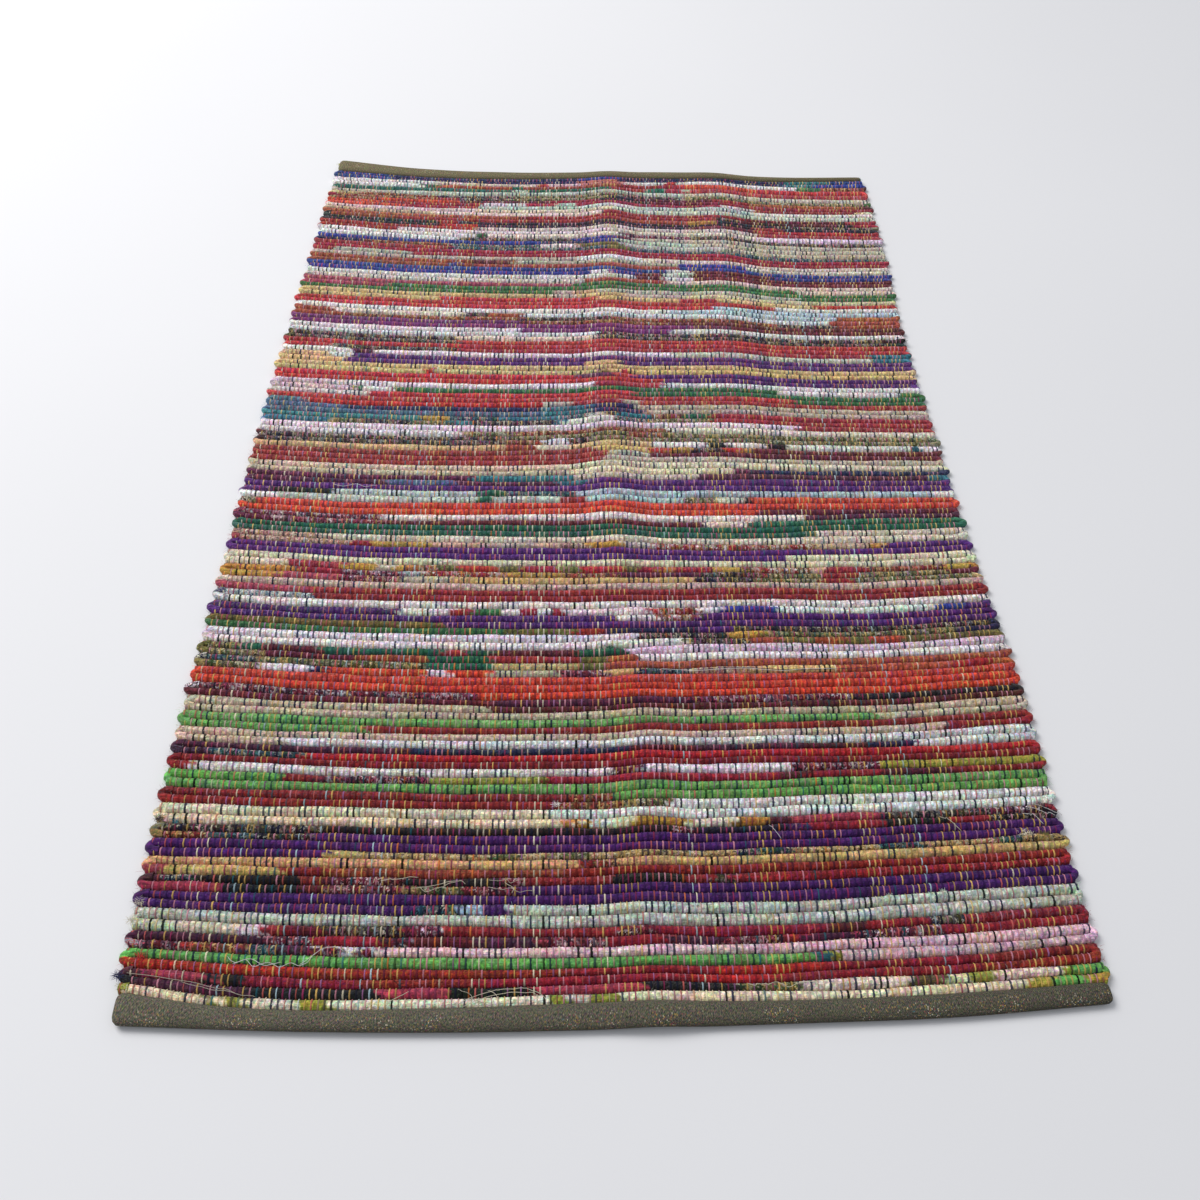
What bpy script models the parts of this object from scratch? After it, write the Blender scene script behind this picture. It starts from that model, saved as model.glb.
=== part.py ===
"""A hand-woven rag rug, about 0.9 m by 1.5 m, lying flat on a floor.

It is one piece of cloth, woven in one go: fat twisted rag picks turn round at each
selvage, and a fine woven header at each end is rolled under into a plump hem. The rug
lies flat but for one soft ridge along its middle, and its rows and edges wander a
little, as hand weaving does.

Metres, +Z up. The origin is on the floor under the middle of the rug. +Y runs along
its length to the back end, +X to the right.

Places on the rug are given as (across, along): across runs from 0 at the left selvage
to 1 at the right, and along is the distance from the back end in metres.
"""

import bpy
import numpy as np

# Driving sizes
WIDTH = 0.900
LENGTH = 1.510
PICKS = 149
HEM_DEPTH = 0.018
ROW_HEIGHT = 0.0080
ROW_VALLEY = 0.0056
HEM_HEIGHT = 0.0098

# The weft's turns at the selvages stand proud of the last warp thread, each one and
# each row a little different: a wave with a long repeat stands for that
TURN_REACH = 0.0048
TURN_UNEVEN = 0.35
TURN_WAVE = 2.4
TURN_LEVEL = 0.0038
ROW_UNEVEN = 0.0004
ROW_WAVE = 1.7

# The ridge along the middle, and a low swell to its right near the back
RIDGE_HALF_WIDTH = 0.062
RIDGE_SHARPNESS = 1.3
SWELL_ACROSS = 0.715
SWELL_HALF_WIDTH = 0.075

# From the nominal middle of the rug to the middle of its real outline
SHIFT_RIGHT = 0.0044
SHIFT_FRONT = 0.0025

PICK = (LENGTH - 2 * HEM_DEPTH) / PICKS
MM = 0.001

# How far each selvage stands outside the nominal width, in mm
SELVAGES = {
    "along": (0, 250, 475, 700, 950, 1150, 1350, 1510),
    "left": (0, 4, 9, 13, 11, 12, 8, 2),
    "right": (0, -1, -11, -8, -4, 4, 0, 2),
}

# How far the rows have slipped towards the front, in mm, at seven places across
DRIFT_ACROSS = (0, 1 / 6, 1 / 3, 1 / 2, 2 / 3, 5 / 6, 1)
DRIFT = {
    0: (-9, 15, 19, 11, 5, 15, 8),
    20: (0, 20, 21, 11, 6, 9, 0),
    45: (4, 14, 18, 6, -2, 7, 2),
    72: (9, 17, 16, 5, 6, 14, 14),
    125: (0, 10, 11, 3, 5, 14, 10),
    180: (-8, 5, 8, 1, 3, 10, 8),
    260: (-10, 1, 4, -2, 4, 19, 14),
    320: (-9, 1, 4, -1, 1, 13, 8),
    500: (-8, 1, 3, 0, -3, 6, 2),
    750: (-2, 6, 7, 0, -5, -3, -4),
    870: (-5, 4, 7, 5, 4, -2, -7),
    1000: (-7, 2, 6, 5, -1, -2, -12),
    1185: (-6, 3, 7, 5, 0, -5, -16),
    1235: (-9, -2, 2, 0, -4, -8, -17),
    1300: (-8, -3, 0, 1, -3, -9, -17),
    1350: (-9, -5, -1, -1, -5, -11, -20),
    1400: (-12, -5, -1, -1, -2, -11, -20),
    1450: (-12, -3, 2, 1, -1, -7, -18),
    1490: (-12, 0, 1, -3, -3, -8, -18),
    1510: (-6, 1, 4, 3, 0, -4, -15),
}

# The ridge's place across and the heights of ridge and swell, in mm
FOLDS = {
    "along": (0, 60, 300, 460, 700, 860, 980, 1120, 1240, 1440, 1510),
    "ridge_across": (0.510, 0.510, 0.512, 0.514, 0.512, 0.514, 0.522, 0.533, 0.537, 0.532, 0.532),
    "ridge_height": (2, 5, 5, 4, 6, 5, 1, 4, 6, 4, 3),
    "swell_height": (2, 4, 4, 3, 1, 0, 0, 0, 0, 0, 0),
}

# The plump hem's profile, from its outer edge inwards: depth and height as shares of
# the hem's own, and how far its ends round in, in mm
HEM_PROFILE = {
    "depth": (0.0, 0.09, 0.32, 0.66, 0.92),
    "height": (0.45, 0.80, 1.0, 0.98, 0.74),
    "rounding": (7, 4, 1.5, 0.5, 0),
}
HEM_UNDER = 0.16

# Each row of rag takes two lines of the mesh, and a turn at the selvage takes two rows
LINES_PER_TURN = 4

# Where the mesh has its lines of points across the rug
STATIONS = (0, 0.16, 0.34, 0.44, 0.480, 0.515, 0.550, 0.59, 0.64, 0.715, 0.80, 1)
COTTON = (0.36, 0.20, 0.21, 1.0)


def curve(places, values, at):
    """A smooth curve through a few points (Catmull-Rom), for numbers or arrays."""
    places = np.asarray(places, float)
    values = np.asarray(values, float)
    at = np.clip(at, places[0], places[-1])
    slopes = np.gradient(values, places, axis=0)
    low = np.clip(np.searchsorted(places, at, side="right") - 1, 0, len(places) - 2)
    step = places[low + 1] - places[low]
    t = (at - places[low]) / step
    if values.ndim == 2:
        column = np.arange(values.shape[1])
        ends = values[low, column], values[low + 1, column]
        leans = slopes[low, column], slopes[low + 1, column]
    else:
        ends = values[low], values[low + 1]
        leans = slopes[low], slopes[low + 1]
    first = ends[0] * (1 + 2 * t) * (1 - t) ** 2 + leans[0] * step * t * (1 - t) ** 2
    last = ends[1] * t * t * (3 - 2 * t) + leans[1] * step * t * t * (t - 1)
    return first + last


def along_rug(table, column, along):
    """A column of a table in mm, read at distances in metres, in metres."""
    places = np.asarray(table["along"]) * MM
    return curve(places, np.asarray(table[column]) * MM, along)


def bell(distance, half_width):
    """1 at the middle, falling smoothly to 0 at half_width and beyond."""
    share = np.clip(np.abs(distance) / half_width, 0, 1)
    return (0.5 + 0.5 * np.cos(np.pi * share)) ** RIDGE_SHARPNESS


def lay(across, along):
    """Where the underside of the cloth lies on the floor: x, y and z."""
    across, along = np.broadcast_arrays(np.asarray(across, float), np.asarray(along, float))
    shape = across.shape
    across, along = across.ravel(), along.ravel()
    left = -WIDTH / 2 - along_rug(SELVAGES, "left", along)
    right = WIDTH / 2 + along_rug(SELVAGES, "right", along)
    x = left + (right - left) * across
    slips = np.array([curve(DRIFT_ACROSS, row, across) for row in DRIFT.values()])
    slip = curve(np.array(list(DRIFT)) * MM, slips * MM, along)
    y = LENGTH / 2 - SHIFT_FRONT - along - slip
    ridge_x = left + (right - left) * curve(
        np.array(FOLDS["along"]) * MM, FOLDS["ridge_across"], along
    )
    swell_x = left + (right - left) * SWELL_ACROSS
    z = along_rug(FOLDS, "ridge_height", along) * bell(x - ridge_x, RIDGE_HALF_WIDTH)
    z = z + along_rug(FOLDS, "swell_height", along) * bell(x - swell_x, SWELL_HALF_WIDTH)
    place = np.stack([x + SHIFT_RIGHT, y, np.maximum(z, 0)], axis=-1)
    return place.reshape(*shape, 3)


def turn_reach(halves, first_pick):
    """How far the selvage bulges, at a count of half picks from the back hem.

    Each turn spans two picks. On the left a turn joins picks 0 and 1, and on the
    right picks 1 and 2, because it is one long weft.
    """
    picks = halves / 2 - first_pick
    turn = np.floor(picks / 2)
    reach = TURN_REACH * (1 + TURN_UNEVEN * np.sin(TURN_WAVE * turn + first_pick))
    inside = (picks >= 0) & (picks <= (PICKS - first_pick) // 2 * 2)
    return np.where(inside, reach * np.abs(np.sin(np.pi * picks / 2)), 0)


def section_rows():
    """Every line of points across the top: distance along, height, selvage reaches.

    A row of rag is two lines, its crest and the valley after it.
    """
    rows = []
    for depth, height, rounding in zip(*HEM_PROFILE.values()):
        inset = -rounding * MM
        rows.append((depth * HEM_DEPTH, height * HEM_HEIGHT, inset, inset))
    for half in range(2 * PICKS + 1):
        crest = ROW_HEIGHT + ROW_UNEVEN * np.sin(ROW_WAVE * half)
        height = crest if half % 2 else ROW_VALLEY
        along = HEM_DEPTH + half * PICK / 2
        rows.append((along, height, turn_reach(half, 0), turn_reach(half, 1)))
    for depth, height, rounding in reversed(list(zip(*HEM_PROFILE.values()))):
        inset = -rounding * MM
        rows.append((LENGTH - depth * HEM_DEPTH, height * HEM_HEIGHT, inset, inset))
    return rows


def widened(points, left, right):
    """A line of points across the rug, its two end points moved outwards."""
    points = points.copy()
    points[0, 0] -= left
    points[-1, 0] += right
    return points


def rug_mesh():
    """The rug as one closed skin: ribbed top, selvage walls and flat underside."""
    rows = section_rows()
    stations = np.array(STATIONS)
    corners = []
    faces = []

    def add_line(points):
        start = len(corners)
        corners.extend(map(tuple, points))
        return list(range(start, start + len(points)))

    top, walls = [], []
    for along, height, left, right in rows:
        line = lay(stations, along)
        line[:, 2] += height
        top.append(add_line(widened(line, min(left, 0), min(right, 0))))
        edge = lay(np.array([0, 1]), along)
        edge[:, 2] += min(TURN_LEVEL, 0.5 * height)
        walls.append(add_line(widened(edge, left, right)))

    # The underside has one line for every two rows of rag, and one under each hem's edge
    hem_lines = len(HEM_PROFILE["depth"])
    field = range(hem_lines, len(rows) - hem_lines, LINES_PER_TURN)
    under_rows = [0, *field, len(rows) - 1]
    under = []
    for index in under_rows:
        along = rows[index][0]
        along = np.clip(along, HEM_UNDER * HEM_DEPTH, LENGTH - HEM_UNDER * HEM_DEPTH)
        inset = min(rows[index][2], 0)
        under.append(add_line(widened(lay(stations, along), inset, inset)))

    for back, front in zip(top, top[1:]):
        for i in range(len(stations) - 1):
            faces.append((back[i], front[i], front[i + 1], back[i + 1]))
    for r in range(len(rows) - 1):
        faces.append((top[r][0], walls[r][0], walls[r + 1][0], top[r + 1][0]))
        faces.append((top[r][-1], top[r + 1][-1], walls[r + 1][1], walls[r][1]))
    for n, (a, b) in enumerate(zip(under_rows, under_rows[1:])):
        back, front = under[n], under[n + 1]
        for i in range(len(stations) - 1):
            faces.append((back[i], back[i + 1], front[i + 1], front[i]))
        steps = range(a, b + 1)
        faces.append([walls[r][0] for r in reversed(steps)] + [back[0], front[0]])
        faces.append([walls[r][1] for r in steps] + [front[-1], back[-1]])

    # Each end: the roll's outer face, from its foremost line down to the floor
    for row, line, facing in ((0, under[0], 1), (-1, under[-1], -1)):
        rim = [walls[row][0]] + top[row] + [walls[row][1]]
        foot = [line[0]] + line + [line[-1]]
        for i in range(len(rim) - 1):
            face = dict.fromkeys((rim[i], rim[i + 1], foot[i + 1], foot[i]))
            faces.append(list(face)[::facing])
    return corners, faces


def cotton():
    material = bpy.data.materials.new("rag_cotton")
    material.use_nodes = True
    shader = material.node_tree.nodes["Principled BSDF"]
    shader.inputs["Base Color"].default_value = COTTON
    shader.inputs["Roughness"].default_value = 0.95
    shader.inputs["Metallic"].default_value = 0.0
    return material


def build():
    for old in list(bpy.data.objects):
        bpy.data.objects.remove(old, do_unlink=True)
    corners, faces = rug_mesh()
    mesh = bpy.data.meshes.new("rag_rug")
    mesh.from_pydata(corners, [], faces)
    mesh.materials.append(cotton())
    mesh.shade_smooth()
    rug = bpy.data.objects.new("rag_rug", mesh)
    bpy.context.scene.collection.objects.link(rug)


build()
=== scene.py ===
"""The rag rug's looks: fat twisted rag rows, warp stitches, selvages, hems and fuzz.

Metres, +Z up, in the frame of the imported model. Places on the rug are (across, along):
across from 0 at the left selvage to 1 at the right, along from the back end in metres.
"""

import math

import bpy
import numpy as np
from mathutils import Matrix


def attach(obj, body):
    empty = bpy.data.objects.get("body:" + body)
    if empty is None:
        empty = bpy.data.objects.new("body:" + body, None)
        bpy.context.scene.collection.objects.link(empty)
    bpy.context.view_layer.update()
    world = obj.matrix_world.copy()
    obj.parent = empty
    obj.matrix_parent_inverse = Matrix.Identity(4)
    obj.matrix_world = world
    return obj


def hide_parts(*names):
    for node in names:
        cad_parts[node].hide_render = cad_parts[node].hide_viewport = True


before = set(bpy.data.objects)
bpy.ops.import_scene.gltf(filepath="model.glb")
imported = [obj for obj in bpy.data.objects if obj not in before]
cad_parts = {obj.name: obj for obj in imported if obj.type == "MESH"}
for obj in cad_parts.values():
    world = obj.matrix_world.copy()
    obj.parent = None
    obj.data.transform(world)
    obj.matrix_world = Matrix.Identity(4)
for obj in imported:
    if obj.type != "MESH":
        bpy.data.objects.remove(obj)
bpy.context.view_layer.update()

MM = 0.001

# The rug's sizes, the same as its solid's
WIDTH = 0.900
LENGTH = 1.510
PICKS = 149
HEM_DEPTH = 0.018
PICK = (LENGTH - 2 * HEM_DEPTH) / PICKS
TURN_REACH = 0.0048
TURN_UNEVEN = 0.35
TURN_WAVE = 2.4
RIDGE_HALF_WIDTH = 0.062
RIDGE_SHARPNESS = 1.3
SWELL_ACROSS = 0.715
SWELL_HALF_WIDTH = 0.075
SHIFT_RIGHT = 0.0044
SHIFT_FRONT = 0.0025

# How far each selvage bows outwards, in mm, at distances along in mm
SELVAGES = {
    "along": (0, 250, 475, 700, 950, 1150, 1350, 1510),
    "left": (0, 4, 9, 13, 11, 12, 8, 2),
    "right": (0, -1, -11, -8, -4, 4, 0, 2),
}
# How far the cloth has slipped towards the front, in mm, at distances along in mm and at
# these places across
DRIFT_ACROSS = (0, 1 / 6, 1 / 3, 1 / 2, 2 / 3, 5 / 6, 1)
DRIFT = {
    0: (-9, 15, 19, 11, 5, 15, 8),
    20: (0, 20, 21, 11, 6, 9, 0),
    45: (4, 14, 18, 6, -2, 7, 2),
    72: (9, 17, 16, 5, 6, 14, 14),
    125: (0, 10, 11, 3, 5, 14, 10),
    180: (-8, 5, 8, 1, 3, 10, 8),
    260: (-10, 1, 4, -2, 4, 19, 14),
    320: (-9, 1, 4, -1, 1, 13, 8),
    500: (-8, 1, 3, 0, -3, 6, 2),
    750: (-2, 6, 7, 0, -5, -3, -4),
    870: (-5, 4, 7, 5, 4, -2, -7),
    1000: (-7, 2, 6, 5, -1, -2, -12),
    1185: (-6, 3, 7, 5, 0, -5, -16),
    1235: (-9, -2, 2, 0, -4, -8, -17),
    1300: (-8, -3, 0, 1, -3, -9, -17),
    1350: (-9, -5, -1, -1, -5, -11, -20),
    1400: (-12, -5, -1, -1, -2, -11, -20),
    1450: (-12, -3, 2, 1, -1, -7, -18),
    1490: (-12, 0, 1, -3, -3, -8, -18),
    1510: (-6, 1, 4, 3, 0, -4, -15),
}
# The soft ridge along the rug and the swell beside it: their heights in mm, and the
# ridge's place across, at distances along in mm
FOLDS = {
    "along": (0, 60, 300, 460, 700, 860, 980, 1120, 1240, 1440, 1510),
    "ridge_across": (0.510, 0.510, 0.512, 0.514, 0.512, 0.514, 0.522, 0.533, 0.537, 0.532, 0.532),
    "ridge_height": (2, 5, 5, 4, 6, 5, 1, 4, 6, 4, 3),
    "swell_height": (2, 4, 4, 3, 1, 0, 0, 0, 0, 0, 0),
}

# The weave: 306 warp threads, each over every other row, and heights above the underside
# of a row's crest, of one under a stitch and of the dips between rows
WARPS = 306
CREST = 0.0079
PINCHED = 0.0070
VALLEY = 0.0026
STITCH_WIDTH = 0.0017
STITCH_RISE = 0.0009
STITCH_EDGE = 0.00015
FLOOR_GAP = 0.0002

# Turns at the selvages: how much farther than the solid's they reach, and how unevenly,
# the rag's radius and height there, how far inside the selvage a turn starts, and how far
# the last one at each hem stands out
TURN_EXTRA = 0.0006
TURN_JITTER = 0.0016
TURN_RADIUS = 0.0043
TURN_HEIGHT = 0.0039
TURN_INSET = 0.009
END_REACH = 0.002

# How far thick rags push a line between rows at most, how many rows a deeper hem pushes
# together, and the columns under which a rag's ragged end stays
MOST_PUSH = 0.003
HEM_PUSHES = 7
RAGGED = 5

# The hems' roll: the angles round it in degrees, from its outer side over its top, the
# power that makes it fuller than a round, how far in its ends narrow, and the way round it
# from one line of points to the next
HEM_SWEEP = (-38, 218)
HEM_FULLNESS = 0.9
HEM_ROUNDING = 0.007
HEM_STEP = 0.0019

# The hems' heights and how light they are at places across, and their tones as sRGB from 0
# to 255
HEM_HEIGHTS = {
    "across": (0, 0.6, 1), "back": (0.0106, 0.0106, 0.0106), "front": (0.0108, 0.0104, 0.0094),
}
HEM_SHADES = {"across": (0, 0.4, 1), "back": (1, 1, 1), "front": (1.02, 0.9, 0.68)}
HEM_TONES = {"back": (110, 104, 80), "front": (93, 91, 78)}

# Painted shade on the hems' rolls: darker where they turn down to the floor and lighter over
# their tops, as shades at degrees round them
HEM_PAINTED_SHADE = {"degrees": (-38, 0, 45, 90), "shade": (0.5, 0.7, 1.0, 1.12)}

# Loose threads and fibres: heights above the underside, half the threads' width, the
# fibres' widths, and how many fibres lie on the rows and on each selvage
LOOSE_HEIGHT = 0.0078
TUFT_HEIGHT = 0.0068
LOOSE_RADIUS = 0.00027
FIBRE_WIDTH = 0.00018
TUFT_FIBRE_WIDTH = 0.0003
FUZZ = 6500
SELVAGE_FUZZ = 900

# How much the cotton's dyes have washed out, from 0 to 1
FADE = 0.10

# Dyes, as sRGB from 0 to 255
DYES = {
    "white": (234, 232, 232), "lilac": (228, 219, 229), "cream": (228, 217, 192),
    "greige": (190, 182, 165), "beige": (208, 193, 168), "peach": (205, 170, 145),
    "pink": (222, 197, 200), "tan": (214, 182, 120), "ochre": (190, 140, 50),
    "yellow": (200, 160, 50), "olive": (110, 105, 50), "lime": (156, 156, 52),
    "green": (106, 174, 84), "grass": (50, 110, 60), "emerald": (28, 100, 75),
    "teal": (45, 115, 130), "slate": (75, 110, 135), "navy": (40, 45, 85),
    "blue": (45, 60, 145), "sky": (180, 205, 215), "aqua": (190, 205, 192),
    "purple": (86, 36, 116), "violet": (115, 45, 110), "plum": (90, 42, 70),
    "maroon": (102, 37, 47), "crimson": (160, 38, 54), "brick": (150, 44, 42),
    "red": (192, 44, 44), "orange": (214, 66, 38), "rust": (160, 72, 48),
    "copper": (180, 90, 50), "magenta": (170, 62, 112),
    "rose": (175, 70, 90), "salmon": (205, 110, 105),
    "charcoal": (45, 42, 48), "black": (34, 35, 35), "warp_pink": (216, 150, 168),
    "warp_yellow": (222, 184, 104), "amber": (222, 130, 60), "mauve": (172, 118, 166),
}

# Painted shade along the rug: the power, in per cent, that the dyes are taken to at distances
# along in mm; above 100 it makes them darker and fuller, below 100 it lightens them
PAINTED_SHADE_POWERS = {
    "along": (0, 500, 750, 1000, 1200, 1350, 1510),
    "depth": (91, 92, 95, 103, 115, 121, 118),
}

# Printed rags, marked by a star: the dyes that show in turn as they twist
PRINTS = {
    "dark*": ("charcoal", "olive", "black", "greige", "navy", "maroon"),
    "warm*": ("rust", "olive", "charcoal", "tan", "red", "maroon"),
    "olive*": ("olive", "grass", "charcoal", "greige", "olive", "tan"),
    "teal*": ("navy", "teal", "charcoal", "greige", "slate", "grass"),
    "plum*": ("plum", "lilac", "charcoal", "crimson", "plum", "rose"),
    "red*": ("crimson", "ochre", "red", "white", "grass", "crimson"),
    "peach*": ("peach", "cream", "salmon", "peach", "plum"),
    "tan*": ("tan", "charcoal", "tan", "cream", "tan"),
    "rose*": ("maroon", "rose", "charcoal", "plum", "pink", "crimson"),
    "blue*": ("white", "navy", "teal", "white", "sky"),
}

# How thick the rags of a cloth are against the usual, where they differ from it
GIRTHS = {
    "white": 1.14, "lilac": 1.12, "cream": 1.12, "aqua": 1.18, "sky": 1.1, "pink": 1.05,
    "green": 1.08, "orange": 1.06, "tan": 1.06, "purple": 1.02, "crimson": 0.96,
    "brick": 0.96, "navy": 0.84, "plum": 0.86, "maroon": 0.88, "charcoal": 0.82, "black": 0.92,
    "tan*": 0.74, "dark*": 0.86, "teal*": 0.84, "olive*": 0.86,
    "warm*": 0.9, "plum*": 0.9, "rose*": 0.9,
}

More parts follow.
